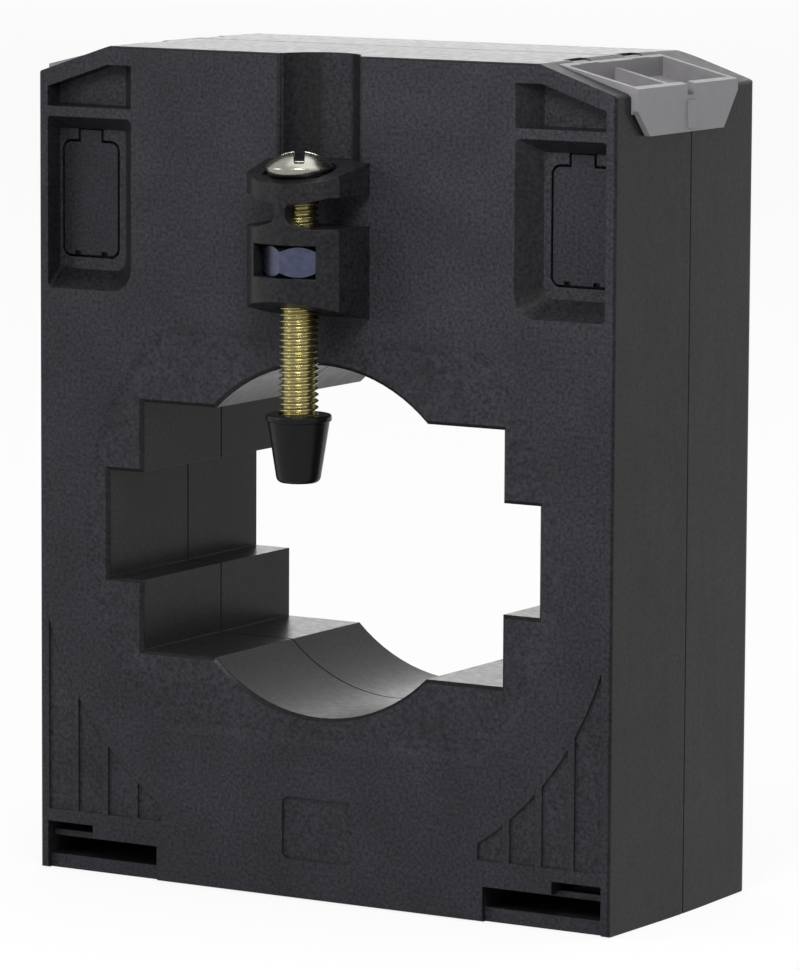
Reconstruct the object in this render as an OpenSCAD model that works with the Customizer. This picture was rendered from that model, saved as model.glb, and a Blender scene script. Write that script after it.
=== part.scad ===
/* [Housing] */
// Width of the housing across the window
body_w = 85; // [80:1:95]
// Height of the housing
body_h = 107.5; // [104:0.5:115]
// Depth of the front shell, from the front face to the parting plane
front_depth = 18.8; // [17:0.2:24]
// Depth of the rear shell, from the parting plane to the rear face
rear_depth = 17.2; // [15:0.2:24]
// Thickness of the moulded outer walls
wall = 1.8; // [1.4:0.1:2]
// Taper of each shell's walls over its depth, so it leaves the mould
draft = 0.15; // [0.1:0.05:0.4]
// Width of the straight land on each side of the parting plane
land = 4; // [2:0.5:6]
// Radius of the front face's edges
front_edge_r = 0.4; // [0.2:0.1:1.2]
// Radius of the rear face's edges
rear_edge_r = 1.2; // [0.4:0.1:2]
// Radius where the sloped upper corners meet the sides
shoulder_r = 1; // [0.4:0.1:1.6]
// Depth of the fine groove along the parting line
seam_d = 0.15; // [0.05:0.05:0.3]
// Width of the sloped upper corners
corner_w = 11.5; // [10:0.5:12.5]
// Drop of the sloped upper corners
corner_drop = 3.8; // [3:0.1:4.4]
// Depth of the lap joint between the shells
lap_depth = 1.2; // [0.8:0.1:2]
// Clearance between pieces that push together
fit_gap = 0.15; // [0.1:0.05:0.25]

/* [Window] */
// Width of the opening for the wide bus bar
wide_bar_w = 63.7; // [60:0.1:65]
// Height of the opening for the wide bus bar
wide_bar_h = 13.9; // [11:0.1:16]
// Width of the opening for the thick bus bar
thick_bar_w = 53.3; // [50:0.1:55]
// Height of the opening for the thick bus bar
thick_bar_h = 32.1; // [30:0.1:34]
// Diameter of the opening for a round cable
cable_d = 44.8; // [42:0.1:48]
// Height of the window's centre above the base
window_z = 46; // [44:0.5:50]
// Wall of the sleeve that lines the window
sleeve_wall = 1.5; // [1.2:0.1:1.8]
// Width of the bevel round the window's two mouths
window_edge = 0.45; // [0.2:0.05:0.8]

/* [Front face] */
// Outer radius of the sunk field round the window
field_r = 35.3; // [34:0.1:37]
// Half height of the sunk field round the window
field_half_h = 26.1; // [24:0.1:27]
// Radius of the sunk field's four corners
field_corner_r = 7; // [4:0.5:10]
// Depth of the sunk field
field_depth = 0.25; // [0.15:0.05:0.5]
// Width of the slope round the sunk field
field_bevel = 1.2; // [0.6:0.1:1.6]
// Depth of the recesses in the upper corners
recess_depth = 2.8; // [2:0.1:3.2]
// Width of the recesses in the upper corners
recess_w = 12.8; // [12:0.1:14]
// Land between the recesses and the side of the housing
recess_side_land = 1.5; // [1.2:0.1:2]
// Drop of the tall recess's upper edge below the housing's top
recess_drop = 9.4; // [9.2:0.1:11]
// Height of the tall recess
recess_h = 22.1; // [21:0.1:22.6]
// Spread of the recesses' inner wall between their floor and the face
recess_slope = 2.6; // [1:0.1:3]
// Spread of the tall recess's lower wall between its floor and the face
recess_low_slope = 2.4; // [1:0.1:3]
// Spread of the tall recess's upper wall between its floor and the face
recess_high_slope = 1.7; // [0.6:0.1:2.4]
// Radius of the tall recess's inner lower corner at the face
recess_corner_r = 3; // [1.6:0.1:4]
// Rib between the tall recess and the sloped one above it
recess_rib = 1.3; // [1:0.1:2]
// Thickness of the housing's rim above the sloped recess
recess_rim = 2.3; // [1.8:0.1:2.8]
// Width of the snap-in plates in the recesses
plate_w = 8.2; // [7:0.1:9]
// Height of the snap-in plates
plate_h = 14.5; // [12:0.1:15]
// Thickness of the snap-in plates
plate_t = 1.2; // [0.8:0.1:1.4]
// Rise of the plates' lower edge above the recess's lower edge
plate_rise = 4.2; // [3.2:0.1:4.6]
// Land between the plates and the recess's outer wall
plate_side_land = 0.7; // [0.5:0.1:1]
// Gap round the snap-in plates
plate_gap = 0.32; // [0.15:0.01:0.4]
// Width of each plate's pull tab
tab_w = 3.2; // [2:0.1:4]
// Height of each plate's pull tab
tab_h = 1.6; // [1:0.1:2]
// Gap above each plate's pull tab
tab_gap = 0.65; // [0.3:0.05:0.8]
// Width of the two snap notches in each plate's lower edge
notch_w = 0.9; // [0.6:0.1:1.4]
// Radius of the four relief steps' common arc round the window
relief_r = 43; // [41:0.5:45]
// Depth of the relief bars and of the blank mark field
relief_depth = 0.3; // [0.2:0.05:0.5]
// Height of the relief bars' lower edge above the base
relief_z = 8; // [7:0.1:10]
// Width of each relief bar
relief_w = 3.65; // [3:0.05:4]
// Pitch of the relief bars
relief_pitch = 4.6; // [4.2:0.1:5]
// Width of the blank mark field
mark_w = 10.4; // [8:0.1:14]
// Height of the blank mark field
mark_h = 8; // [6:0.1:10]
// Height of the blank mark field's lower edge above the base
mark_z = 5.2; // [4:0.1:8]

/* [Foot slots] */
// Width of each foot slot at the front face
slot_w = 16.9; // [14:0.1:18]
// Height of each foot slot's inner part
slot_h = 2.7; // [2:0.1:3.2]
// Extra height of each foot slot's outer part
slot_step = 1.7; // [1:0.1:2.2]
// Width of each foot slot's outer part
slot_step_w = 7; // [5:0.1:9]
// Height of the foot slots' floor above the base
slot_z = 1.95; // [1.6:0.05:2.4]
// Depth of the foot slots into the housing
slot_depth = 13; // [8:0.5:15]
// Set-back of the base edge below the foot slots
slot_lip = 0.9; // [0.4:0.1:1.4]
// Land between the foot slots and the side of the housing
slot_side_land = 1.3; // [1:0.1:2]
// Width of the catch bar across each foot slot's outer part
catch_w = 1.6; // [1:0.1:2.4]
// Height of the catch bar
catch_h = 0.8; // [0.5:0.1:1.2]

/* [Clamp] */
// Nominal diameter of the clamp screw
screw_d = 5; // [4:0.5:6]
// Length of the clamp screw below its head
screw_l = 35; // [33:1:38]
// Diameter of the clamp screw's head
head_d = 8.5; // [8:0.1:9]
// Height of the clamp screw's head
head_h = 3.1; // [2.4:0.1:3.7]
// Diameter of the head's underside, inside its rounded lower edge
head_seat_d = 6.8; // [6:0.1:7.6]
// Height of the head's widest ring above its underside
head_edge_h = 1.2; // [0.6:0.1:1.6]
// Width of the slot in the head
head_slot_w = 1.2; // [0.8:0.1:1.6]
// Depth of the slot in the head
head_slot_d = 1.3; // [0.8:0.1:1.5]
// Turn of the slot at rest, from the front-to-rear direction
head_turn = 31; // [0:1:90]
// Distance of the screw's axis in front of the face
screw_out = 4.6; // [4.4:0.1:5.2]
// Depth of the head's seat below the holder's top at the face
head_sink = 1.6; // [1.2:0.1:2]
// Width of the hexagon nut across its flats
nut_s = 8; // [7:0.5:9]
// Height of the hexagon nut
nut_h = 4; // [3:0.1:4.7]
// Thickness of the holder's block above the nut
nut_roof = 2.2; // [1.8:0.1:2.6]
// Radial running clearance of screws in tapped holes
thread_gap = 0.05; // [0.03:0.01:0.1]
// Drop of the holder's top at the face below the housing's top
holder_drop = 13.3; // [13:0.1:15]
// Height of the clamp holder at the face
holder_h = 19.5; // [18.6:0.1:20.4]
// Width of the clamp holder at its front corners
holder_w = 13.5; // [13:0.1:15]
// Extra width of the clamp holder at the face, on each side
holder_flare = 0.8; // [0:0.1:1]
// Distance of the holder's front corners from the face
holder_corner = 6.1; // [5.8:0.1:7]
// Distance of the holder's rounded front from the face
holder_nose = 9.3; // [9.2:0.1:11]
// Slope of the holder's top and underside from the face to its front corners
holder_taper = 1.3; // [0.6:0.1:1.6]
// Further slope of the top and underside from the corners to the nose
nose_taper = 1.3; // [0.6:0.1:1.6]
// Thickness of the holder's upper plate at the face
holder_plate = 4; // [3.6:0.1:4.6]
// Gap between the holder's upper plate and its lower block
holder_gap = 3.9; // [3:0.1:4.4]
// Depth of the lip under the upper plate's front edge
holder_lip = 0.9; // [0.4:0.1:1.2]
// Width of the web that joins the holder's plate and block
holder_web = 1.6; // [1.4:0.1:3]
// Half width of the web's feet on the plate and the block
web_foot = 4; // [2.4:0.1:4.6]
// Height of the web's flared feet
web_fillet = 0.8; // [0.4:0.1:1]
// Width of the screwdriver channel in the front face
channel_w = 11.6; // [10:0.1:13]
// Depth of the screwdriver channel
channel_depth = 4.6; // [3.6:0.1:5.4]
// Radius of the channel's long edges
channel_edge = 0.5; // [0.2:0.1:0.8]
// Upper diameter of the clamp screw's plastic cap
cap_top_d = 8.3; // [7:0.1:9]
// Lower diameter of the clamp screw's plastic cap
cap_tip_d = 5.4; // [4:0.1:6.4]
// Height of the clamp screw's plastic cap
cap_h = 8.6; // [7.5:0.1:10]
// Depth of the screw's end in the cap
cap_grip = 5.2; // [4:0.1:6]

/* [Terminals] */
// Distance of the cover's front edge from the front face
cover_y = 3.7; // [3.4:0.1:5]
// Length of the cover along the housing's side
cover_l = 25.7; // [22:0.1:26.5]
// Thickness of the cover's walls
cover_wall = 0.9; // [0.7:0.1:1.2]
// Depth of the tray in the cover, below its rim
cover_tray = 2.4; // [1.4:0.1:2.6]
// Length of the flap over the side, below the cover's rim
cover_flap = 5.9; // [5:0.1:7]
// How far the flap stands out from the side
cover_proud = 0.8; // [0.5:0.1:1.2]
// Width of the flap's slanted front end
flap_front_w = 3.1; // [2:0.1:5]
// Height of the flap's slanted front end
flap_front_h = 3.2; // [2:0.1:5]
// Width of the flap's slanted rear end
flap_rear_w = 3.6; // [2:0.1:5]
// Height of the flap's slanted rear end
flap_rear_h = 4.5; // [2:0.1:5]
// Width of the rib down the flap
rib_w = 1.8; // [1.2:0.1:2.4]
// Distance of the flap's rib behind the cover's middle
rib_shift = 0.6; // [0:0.1:1.5]
// Depth of the notch above the flap's rib
rib_notch = 1.4; // [0.8:0.1:1.8]
// Drop of the tray's partition below the cover's rim
partition_drop = 0.8; // [0.4:0.1:1.2]
// Diameter of the cover's hinge pins
hinge_d = 1; // [0.8:0.1:1.1]
// Distance of the hinges from the cover's ends
hinge_inset = 6.3; // [5:0.1:8]
// Length of each hinge lug
hinge_l = 4; // [3:0.1:5]
// Length of the brass terminal block
block_l = 19; // [18:0.5:20]
// Height of the brass terminal block
block_h = 5.2; // [5:0.1:5.3]
// Width of the brass terminal block
block_w = 6.4; // [5.8:0.1:7]
// Distance between the two clamps of a terminal block
clamp_pitch = 10.4; // [9.6:0.1:11]
// Width of the openings for the connecting wires
wire_w = 4.2; // [3.6:0.1:5]
// Height of the openings for the connecting wires
wire_h = 2.8; // [2.4:0.1:3]
// Thickness of the tapped roof of each terminal clamp
roof_t = 1.4; // [1.2:0.1:1.5]
// Diameter of the terminal screws
tscrew_d = 3.5; // [3:0.1:4]
// Length of the terminal screws
tscrew_l = 3.2; // [2.8:0.1:3.3]
// Thickness of the wire clamps under the terminal screws
clamp_t = 0.8; // [0.6:0.1:1.2]
// Travel of each wire clamp from open to closed
clamp_travel = 1.8; // [1.2:0.1:1.9]

/* [Core] */
// Clearance between the taped winding and the housing
core_room = 0.3; // [0.2:0.05:0.5]
// Wall of the insulating half rings round the core
ring_wall = 0.5; // [0.3:0.1:0.6]
// Diameter of the winding's wire
wire_d = 0.6; // [0.4:0.05:0.7]
// Thickness of the tape over the winding
tape_t = 0.25; // [0.15:0.05:0.3]
// Outer diameter of the insulated leads
lead_d = 1.8; // [1.2:0.1:2]
// Radius of the bend of each lead
lead_bend = 4; // [3:0.5:5]

/* [Hidden] */

$fn = 64;
eps = 0.01;
body_d = front_depth + rear_depth;
y_front = -body_d / 2;
y_part = y_front + front_depth;
y_rear = body_d / 2;
half_w = body_w / 2;

// Height of the sloped corner's surface at a distance x from the middle
function slope_z(x) = body_h - corner_drop * (x - half_w + corner_w) / corner_w;
slope_deg = atan(corner_drop / corner_w);

function unit(v) = v / norm(v);
// Points of the arc of radius r that rounds the corner b between a and c
function corner_arc(a, b, c, r, n) =
    r <= 0 ? [b] :
    let (u = unit(a - b), v = unit(c - b), half = acos(u * v) / 2,
         centre = b + unit(u + v) * r / sin(half),
         p = b + u * r / tan(half) - centre, q = b + v * r / tan(half) - centre,
         start = atan2(p.y, p.x), turn = (atan2(q.y, q.x) - start + 540) % 360 - 180)
    [for (i = [0:n]) centre + r * [cos(start + turn * i / n), sin(start + turn * i / n)]];
// The polygon pts with each corner rounded by its own radius
function rounded(pts, radii, n = 5) =
    let (m = len(pts))
    [for (i = [0:m - 1])
        each corner_arc(pts[(i + m - 1) % m], pts[i], pts[(i + 1) % m], radii[i], n)];
function box_points(x0, y0, x1, y1) = [[x0, y0], [x1, y0], [x1, y1], [x0, y1]];

// Extrudes a front view (x, z) from y0 to y1
module front_view(y0, y1) translate([0, y1, 0]) rotate([90, 0, 0]) linear_extrude(y1 - y0) children();
// Extrudes a side view (y, z) from x0 to x1
module side_view(x0, x1) translate([x0, 0, 0]) rotate([90, 0, 90]) linear_extrude(x1 - x0) children();
module box(x0, y0, z0, x1, y1, z1) translate([x0, y0, z0]) cube([x1 - x0, y1 - y0, z1 - z0]);
// Draws its children on the right, and mirrored on the left
module both_sides() for (side = [0, 1]) mirror([side, 0, 0]) children();

// The housing's outer form, moved inwards by t on every side
module body_form(t) {
    w = half_w - t;
    groove = t == 0 ? seam_d : 0;
    front_r = max(front_edge_r - t, 0);
    rear_r = max(rear_edge_r - t, 0);
    intersection() {
        translate([0, 0, t]) linear_extrude(body_h - 2 * t)
            polygon(rounded(
                [[-w + draft, y_front + t], [w - draft, y_front + t],
                 [w, y_part - seam_d], [w - groove, y_part], [w, y_part + seam_d],
                 [w - draft, y_rear - t], [-w + draft, y_rear - t],
                 [-w, y_part + seam_d], [-w + groove, y_part], [-w, y_part - seam_d]],
                [front_r, front_r, 0, 0, 0, rear_r, rear_r, 0, 0, 0]));
        side_view(-w, w)
            polygon(rounded(
                [[y_front + t, t + draft], [y_part - land, t],
                 [y_part - seam_d, t], [y_part, t + groove], [y_part + seam_d, t],
                 [y_part + land, t], [y_rear - t, t + draft], [y_rear - t, body_h - t - draft],
                 [y_part + land, body_h - t], [y_part + seam_d, body_h - t],
                 [y_part, body_h - t - groove], [y_part - seam_d, body_h - t],
                 [y_part - land, body_h - t], [y_front + t, body_h - t - draft]],
                [front_r, 0, 0, 0, 0, 0, rear_r, rear_r, 0, 0, 0, 0, 0, front_r]));
        front_view(y_front, y_rear)
            polygon(rounded([[-w, t], [w, t], [w, body_h - t - corner_drop],
                [half_w - corner_w - t * tan(slope_deg / 2), body_h - t],
                [-half_w + corner_w + t * tan(slope_deg / 2), body_h - t],
                [-w, body_h - t - corner_drop]],
                [0, 0, max(shoulder_r - t, 0), 0, 0, max(shoulder_r - t, 0)]));
    }
}

// Cross-section of the window, grown outwards by t
module window_shape(t) {
    square([wide_bar_w + 2 * t, wide_bar_h + 2 * t], center = true);
    square([thick_bar_w + 2 * t, thick_bar_h + 2 * t], center = true);
    circle(d = cable_d + 2 * t, $fn = 96);
}
module window_prism(t, y0, y1) front_view(y0, y1) translate([0, window_z]) window_shape(t);
// Bevel of width c on the window's edge at depth y, opening to the front (1) or the rear (-1)
module window_bevel(y, c, towards) {
    inner = y + towards * c;
    outer = y - towards * eps;
    spread = c + eps;
    for (bar = [[wide_bar_w / 2, wide_bar_h / 2], [thick_bar_w / 2, thick_bar_h / 2]]) intersection() {
        linear_extrude(body_h) polygon([[-bar.x, inner], [bar.x, inner],
            [bar.x + spread, outer], [-bar.x - spread, outer]]);
        translate([0, 0, window_z]) side_view(-body_w, body_w)
            polygon([[inner, -bar.y], [inner, bar.y], [outer, bar.y + spread], [outer, -bar.y - spread]]);
    }
    translate([0, inner, window_z]) rotate([towards * 90, 0, 0])
        cylinder(spread, d1 = cable_d, d2 = cable_d + 2 * spread, $fn = 96);
}

// ---- places shared by several pieces ----
over = 1;
clamp_y = y_front - screw_out;
holder_z1 = body_h - holder_drop;
holder_z0 = holder_z1 - holder_h;
holder_plate_z = holder_z1 - holder_plate;
holder_block_top = holder_plate_z - holder_gap;
head_z = holder_z1 - head_sink;
nut_z = holder_block_top - nut_roof - nut_h;
recess_x1 = half_w - recess_side_land;
recess_x0 = recess_x1 - recess_w;
recess_z = body_h - recess_drop - recess_h;
recess_backing = 1.2;
plate_x = recess_x1 - plate_side_land - plate_w / 2;
plate_z = recess_z + plate_rise;
window_land = 1.4;
slot_x1 = half_w - slot_side_land;
slot_x0 = slot_x1 - slot_w;
slot_wall = 1.2;
catch_y = y_front + 1.6;
channel_wall = 1.6;

cover_y0 = y_front + cover_y;
cover_y1 = cover_y0 + cover_l;
cover_mid = (cover_y0 + cover_y1) / 2;
rib_y = cover_mid + rib_shift;
opening_x = half_w - corner_w + 1;
cover_x = opening_x + fit_gap;
cover_x1 = half_w + cover_proud;
cover_top_in = slope_z(opening_x);
cover_top_out = slope_z(half_w) + cover_proud;
cover_deep = cover_tray + cover_wall;
// Height of the cover's rim at a distance x from the middle
function cover_z(x) = cover_top_in
    + (cover_top_out - cover_top_in) * (x - cover_x) / (cover_x1 - cover_x);
flap_x = half_w + 0.05;
flap_z = cover_top_out - cover_flap;
hinge_x = opening_x - 0.7;
hinge_z = cover_top_in - 0.42;
hinge_at = [for (s = [-1, 1]) cover_mid + s * (cover_l / 2 - hinge_inset)];
hinge_pin = 0.8;

ledge = 0.8;
shelf_t = 1.6;
side_x = half_w - wall;
block_x = (opening_x + side_x) / 2;
block_z = cover_z(block_x + block_w / 2) - cover_deep - 0.2 - block_h;
wire_z = block_z + block_h - roof_t - wire_h;
wire_clamp_z = wire_z + wire_h - clamp_t - clamp_travel;
notch_z = flap_z + 0.1;
screw_at = [for (s = [-1, 1]) cover_mid + s * clamp_pitch / 2];

// The core fills the room between the window's sleeve and the housing's walls
ring_gap = 0.05;
layers = ring_gap + ring_wall + wire_d + tape_t;
core_r = norm([wide_bar_w / 2 + sleeve_wall, wide_bar_h / 2 + sleeve_wall]) + core_room + layers;
core_build = half_w - wall - draft - core_room - layers - core_r;
front_stack = max(recess_depth + plate_t + recess_backing, channel_depth + channel_wall);
core_strip = body_d - 2 * (front_stack + core_room + layers);
ring_r0 = core_r - ring_wall - ring_gap;
ring_r1 = core_r + core_build + ring_wall + ring_gap;
ring_half = core_strip / 2 + ring_wall + ring_gap;
coil_r0 = ring_r0 - wire_d;
coil_r1 = ring_r1 + wire_d;
coil_half = ring_half + wire_d;
tape_r0 = coil_r0 - tape_t;
tape_r1 = coil_r1 + tape_t;
tape_half = coil_half + tape_t;
lead_x = block_x;
lead_top = block_z + 0.6;
lead_low = window_z + sqrt(pow(tape_r1, 2) - pow(lead_x - lead_bend, 2)) - lead_d;

// ---- features of the front face ----
module field_cut() {
    lift = 0.05;
    spread = field_bevel * lift / field_depth;
    h = field_depth + lift;
    corner_x = sqrt(pow(field_r - field_corner_r, 2) - pow(field_half_h - field_corner_r, 2));
    corner_z = field_half_h - field_corner_r;
    low = field_half_h - field_bevel;
    high = field_half_h + spread;
    translate([0, y_front + field_depth, window_z]) {
        intersection() {
            rotate([90, 0, 0]) cylinder(h, r1 = field_r - field_bevel, r2 = field_r + spread, $fn = 128);
            for (side = [-1, 1])
                front_view(-h - over, over)
                    polygon([[0, 0], side * 2 * [corner_x, corner_z], side * 2 * [corner_x, -corner_z]]);
        }
        for (sx = [-1, 1], sz = [-1, 1])
            translate([sx * corner_x, 0, sz * corner_z]) rotate([90, 0, 0])
                cylinder(h, r1 = field_corner_r - field_bevel, r2 = field_corner_r + spread);
        side_view(-corner_x, corner_x)
            polygon([[0, -low], [0, low], [-h, high], [-h, -high]]);
    }
}

// A recess that narrows from one outline at the face to another on its floor
module sloped_recess(face, floor_outline) hull() {
    front_view(y_front - over, y_front) polygon(face);
    front_view(y_front + recess_depth - eps, y_front + recess_depth) polygon(floor_outline);
}
module tall_recess() {
    z1 = recess_z + recess_h;
    sloped_recess(
        rounded(box_points(recess_x0, recess_z, recess_x1, z1), [recess_corner_r, 0.6, 0.4, 0.8]),
        rounded(box_points(recess_x0 + recess_slope, recess_z + recess_low_slope,
            recess_x1 - 0.05, z1 - recess_high_slope), [recess_corner_r / 2, 0.3, 0.3, 0.5]));
}
module high_recess() {
    z0 = recess_z + recess_h + recess_rib;
    x_knee = half_w - corner_w + 0.9;
    z_in = slope_z(x_knee) - recess_rim;
    z_out = slope_z(recess_x1) - recess_rim;
    sloped_recess(
        [[recess_x0, z0], [recess_x1, z0], [recess_x1, z_out], [x_knee, z_in], [recess_x0, z_in]],
        [[recess_x0 + recess_slope, z0 + 0.2], [recess_x1 - 0.05, z0 + 0.2], [recess_x1 - 0.05, z_out],
         [x_knee, z_in], [recess_x0 + recess_slope, z_in]]);
}
// Outline of a snap-in plate, grown by t, its tab grown by tab_t at the top
module plate_outline(t, tab_t) {
    polygon(rounded(box_points(plate_x - plate_w / 2 - t, plate_z - t,
        plate_x + plate_w / 2 + t, plate_z + plate_h + t), [for (i = [0:3]) 1 + t]));
    translate([plate_x - tab_w / 2 - t, plate_z + plate_h / 2])
        square([tab_w + 2 * t, plate_h / 2 + tab_h + tab_t]);
}
module plate_pocket() {
    y0 = y_front + recess_depth;
    front_view(y0 - eps, y0 + plate_t) plate_outline(plate_gap, tab_gap);
    front_view(y0, y0 + plate_t + 2 * recess_backing) square_window(window_land);
}
// The opening that a snap-in plate closes, smaller than the plate by t all round
module square_window(t) translate([plate_x - plate_w / 2 + t, plate_z + t])
    square([plate_w - 2 * t, plate_h - 2 * t]);

module foot_slot() {
    y1 = y_front + slot_depth;
    box(slot_x0, y_front - over, slot_z, slot_x1, y1, slot_z + slot_h);
    box(slot_x1 - slot_step_w, y_front - over, slot_z, slot_x1, y1, slot_z + slot_h + slot_step);
    box(slot_x0, y_front - over, -over, slot_x1, y_front + slot_lip, slot_z + slot_h);
}
module foot_slot_bar() box(slot_x1 - slot_step_w - over, catch_y, slot_z + slot_h - catch_h / 2,
    slot_x1 + over, catch_y + catch_w, slot_z + slot_h + catch_h / 2);
module foot_slot_walls() box(slot_x0 - slot_wall, y_front + wall / 2, wall / 2,
    half_w - wall / 2, y_front + slot_depth + slot_wall, slot_z + slot_h + slot_step + slot_wall);

module relief_bars() for (i = [0:3]) {
    x0 = recess_x1 - relief_w - i * relief_pitch;
    front_view(y_front - over, y_front + relief_depth) difference() {
        translate([x0, relief_z]) square([relief_w, window_z - relief_z]);
        translate([0, window_z]) circle(relief_r, $fn = 128);
    }
}
module mark_field() front_view(y_front - over, y_front + relief_depth)
    polygon(rounded(box_points(-mark_w / 2, mark_z, mark_w / 2, mark_z + mark_h), [1, 1, 1, 1]));

// ---- clamp holder on the front face ----
channel_r = (pow(channel_w / 2, 2) + pow(channel_depth, 2)) / (2 * channel_depth);
module channel(t, z0) translate([0, y_front + channel_depth - channel_r, z0])
    cylinder(body_h + over - z0, r = channel_r + t);
// The channel's softened long edges
module channel_edges() translate([0, 0, holder_z1]) linear_extrude(body_h) {
    x = channel_w / 2;
    e = channel_edge;
    for (side = [-1, 1])
        polygon([[0, y_front - eps], [side * (x + e + eps), y_front - eps], [side * (x + e), y_front],
            [side * (x + e * 0.3), y_front + e * 0.3], [side * (x - e * 0.1), y_front + e], [0, y_front + e]]);
}
// Plan of the holder: flared sides and a front rounded about the middle
module holder_plan() {
    w = holder_w / 2;
    bulge = holder_nose - holder_corner;
    r = (pow(w, 2) + pow(bulge, 2)) / (2 * bulge);
    intersection() {
        polygon([[-w - holder_flare, wall / 3], [-w, -holder_corner], [-w, -holder_nose],
            [w, -holder_nose], [w, -holder_corner], [w + holder_flare, wall / 3]]);
        translate([0, r - holder_nose]) circle(r, $fn = 128);
    }
}
module holder_solid(z0, z1) translate([0, y_front, z0]) linear_extrude(z1 - z0) holder_plan();
// Side view of the whole holder
module holder_side() {
    root = y_front + wall / 3;
    corner = y_front - holder_corner;
    nose = y_front - holder_nose - 0.4;
    polygon(rounded([
        [root, holder_z0 - 0.1], [corner, holder_z0 + holder_taper],
        [nose, holder_z0 + holder_taper + nose_taper], [nose, holder_z1 - holder_taper - nose_taper],
        [corner, holder_z1 - holder_taper], [root, holder_z1 + 0.1]],
        [0, holder_nose / 2, 0, 0, holder_nose / 2, 0]));
}
// Side view of the upper plate, with the lip under its front edge
module plate_side() polygon([
    [y_front + wall, holder_plate_z], [clamp_y - screw_d / 2, holder_plate_z],
    [y_front - holder_nose, holder_plate_z - holder_lip], [y_front - holder_nose, holder_z1 + over],
    [y_front + wall, holder_z1 + over]]);
// Front view of the web between the plate and the block
module web_outline() {
    x = holder_web / 2;
    low = holder_block_top;
    high = holder_plate_z;
    polygon(rounded([[-web_foot, low - 0.5], [web_foot, low - 0.5],
        [web_foot, low], [x, low + web_fillet], [x, high - web_fillet], [web_foot, high],
        [web_foot, high + 0.5], [-web_foot, high + 0.5],
        [-web_foot, high], [-x, high - web_fillet], [-x, low + web_fillet], [-web_foot, low]],
        [0, 0, 0, 1, 1, 0, 0, 0, 0, 1, 1, 0]));
}
module holder() difference() {
    intersection() {
        union() {
            intersection() {
                holder_solid(holder_plate_z - holder_lip, holder_z1 + over);
                side_view(-holder_w, holder_w) plate_side();
            }
            holder_solid(holder_z0 - over, holder_block_top);
            intersection() {
                holder_solid(holder_block_top - 0.5, holder_plate_z + 0.5);
                front_view(y_front - holder_nose - over, clamp_y - screw_d / 2 - 0.5) web_outline();
            }
        }
        side_view(-holder_w, holder_w) holder_side();
    }
    translate([0, clamp_y, head_z]) cylinder(holder_h, d = head_d + 0.7);
    translate([0, clamp_y, holder_z0 - over]) cylinder(holder_h + 2 * over, d = screw_d + 0.4);
    nut_pocket();
}
module nut_pocket() {
    side = nut_s / 2 + 0.1;
    mouth = side + 0.9;
    at_corner = screw_out - holder_corner;
    at_nose = screw_out - holder_nose;
    translate([0, clamp_y, nut_z]) linear_extrude(nut_h + fit_gap) {
        rotate(30) circle(side / cos(30), $fn = 6);
        polygon([[-side, 0], [side, 0], [side, at_corner], [mouth, at_nose - 0.6],
            [-mouth, at_nose - 0.6], [-side, at_corner]]);
    }
}

// ---- terminal compartments ----
// Side outline of the cover's place: rim, flap and tray, grown by t
module cover_profile(t) polygon([
    [cover_x - t, cover_z(cover_x) + t], [cover_x1 + t, cover_top_out + t],
    [cover_x1 + t, flap_z - t], [flap_x, flap_z - t],
    [flap_x, cover_z(flap_x) - cover_deep - t], [cover_x - t, cover_z(cover_x) - cover_deep - t]]);
module terminal_walls() intersection() {
    box(opening_x - 1.6, y_front + wall / 2, block_z - shelf_t, half_w, cover_y1 + 1.6, body_h);
    body_form(wall / 2);
}
module terminal_cut() {
    front_view(cover_y0 - fit_gap, cover_y1 + fit_gap) polygon([
        [opening_x, body_h + over], [half_w + 2, body_h + over],
        [half_w + 2, cover_z(half_w + 2) - cover_deep - fit_gap],
        [opening_x, cover_z(opening_x) - cover_deep - fit_gap]]);
    box(opening_x, cover_y0 + ledge, block_z, side_x, cover_y1 - ledge, body_h);
    for (y = screw_at) box(side_x - eps, y - wire_w / 2, notch_z, half_w + over, y + wire_w / 2, body_h);
    for (y = hinge_at) {
        box(hinge_x - 1, y - hinge_l / 2 - fit_gap, hinge_z - 0.8, opening_x + eps,
            y + hinge_l / 2 + fit_gap, body_h + over);
        translate([hinge_x, y, hinge_z]) rotate([90, 0, 0])
            cylinder(hinge_l + 2 * hinge_pin + 2 * fit_gap, d = hinge_d + 0.1, center = true, $fn = 32);
    }
    translate([lead_x, cover_mid, 0]) translate([0, 0, block_z - shelf_t - over])
        cylinder(shelf_t + 2 * over, d = lead_d + 0.3, $fn = 32);
}
// Lip of the lap joint, from depth t0 to depth t1 in the wall
module lap_ring(t0, t1, y0, y1) intersection() {
    difference() { body_form(t0); body_form(t1); }
    box(-body_w, y0, -over, body_w, y1, body_h + over);
}
module coil_seat(y0, y1) translate([0, y1, window_z]) rotate([90, 0, 0]) difference() {
    cylinder(y1 - y0, r = tape_r1 - 0.4, $fn = 96);
    translate([0, 0, -over]) cylinder(y1 - y0 + 2 * over, r = tape_r0 + 1.2, $fn = 96);
}

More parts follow.
